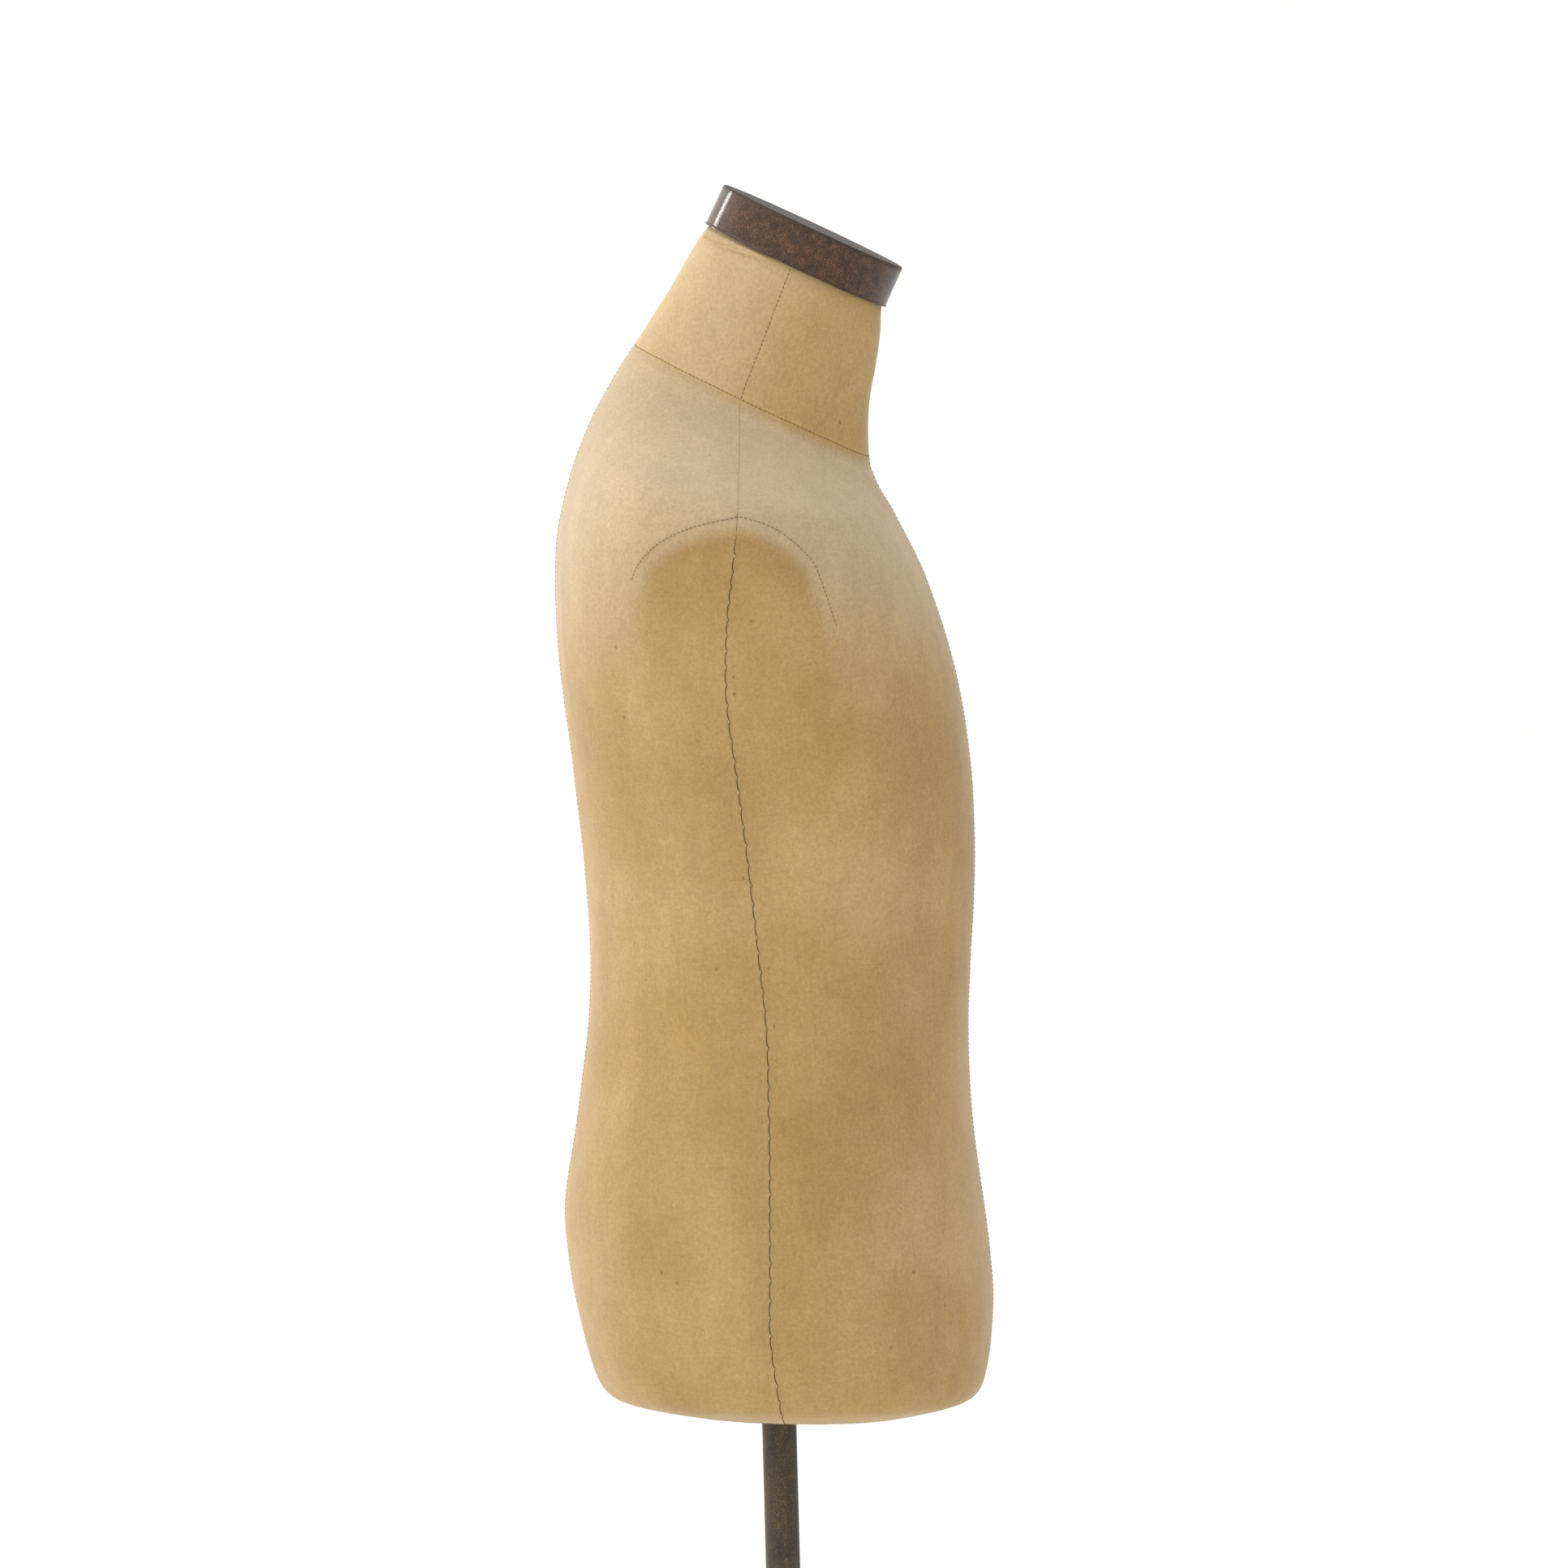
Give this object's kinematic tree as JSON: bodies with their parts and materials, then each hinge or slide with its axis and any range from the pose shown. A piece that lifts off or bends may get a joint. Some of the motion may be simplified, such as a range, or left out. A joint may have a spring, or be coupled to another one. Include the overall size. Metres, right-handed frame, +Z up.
{
  "type": "dress form mannequin",
  "caption": "Armless padded torso form covered in aged canvas, with a slanted neck under a rusted iron cap, on a telescoping pole with a clamp collar and a round base.",
  "frame": {"origin": "on the floor, on the pole's axis, under the middle of the round base", "axes": "+Z up along the pole, the figure's front faces -Y, its left side is towards +X"},
  "size_m": [0.412, 0.36, 1.6128],
  "materials": {
    "canvas": "aged unbleached linen canvas, matt, worn and uneven in tone",
    "wadding": "cotton wadding, fluffy and matt",
    "papier_mache": "layered pasted paper, matt",
    "timber": "planed softwood, unfinished",
    "rusted_iron": "rusted sheet iron under clear lacquer, semi-gloss",
    "pole_steel": "dark brown patinated steel tube with fine speckling, satin",
    "cast_iron": "dark blacked cast iron, satin",
    "brass": "aged brass, satin",
    "zinc_steel": "zinc-plated steel, satin",
    "felt": "pressed wool felt, matt"
  },
  "bodies": {
    "stand": {"base_plate": "cast_iron", "base_bolt": "zinc_steel", "foot_pad_1": "felt", "foot_pad_2": "felt", "foot_pad_3": "felt", "foot_pad_4": "felt", "hub": "cast_iron", "hub_screw_1": "zinc_steel", "hub_screw_2": "zinc_steel", "hub_screw_3": "zinc_steel", "hub_screw_4": "zinc_steel", "hub_set_screw": "zinc_steel", "lower_tube": "pole_steel", "tube_plug": "zinc_steel", "collar": "cast_iron", "collar_bush": "brass"},
    "pole": {"pole": "pole_steel", "pole_plug": "zinc_steel", "pole_guide": "brass"},
    "bearing": {"thrust_disc": "brass"},
    "torso": {"socket_tube": "zinc_steel", "socket_cap": "cast_iron", "socket_flange": "cast_iron", "bottom_board": "timber", "crossbar": "timber", "neck_block": "timber", "neck_cap": "rusted_iron", "neck_cap_screw_1": "rusted_iron", "neck_cap_screw_2": "rusted_iron", "shell_front": "papier_mache", "shell_back": "papier_mache", "wadding": "wadding", "cover_front_left": "canvas", "cover_front_right": "canvas", "cover_back_left": "canvas", "cover_back_right": "canvas", "cover_underside": "canvas", "neck_cover_front": "canvas", "neck_cover_back": "canvas", "socket_flange_screw_1": "zinc_steel", "socket_flange_screw_2": "zinc_steel", "socket_flange_screw_3": "zinc_steel", "socket_flange_screw_4": "zinc_steel"},
    "clamp_pad": {"clamp_pad": "brass"},
    "thumb_screw": {"thumb_screw": "cast_iron"}
  },
  "joints": [
    {"name": "height_slide", "type": "slide", "parent": "stand", "child": "pole", "axis": [0, 0, 1], "range_m": [-0.16, 0.2]},
    {"name": "torso_turn", "type": "hinge", "parent": "pole", "child": "bearing", "pos_m": [0, 0, 1.2475], "axis": [0, 0, 1], "continuous": true},
    {"name": "torso_lift", "type": "slide", "parent": "bearing", "child": "torso", "axis": [0, 0, 1], "range_m": [0, 0.38]},
    {"name": "pad_slide", "type": "slide", "parent": "stand", "child": "clamp_pad", "axis": [0, 1, 0], "range_m": [0, 0.0025]},
    {"name": "screw_turn", "type": "hinge", "parent": "clamp_pad", "child": "thumb_screw", "pos_m": [0, 0.02, 0.595], "axis": [0, 1, 0], "range_deg": [0, 722]}
  ],
  "couplings": [
    {"joint": "screw_turn", "follows": "pad_slide", "rad_per_m": 5026.5}
  ]
}
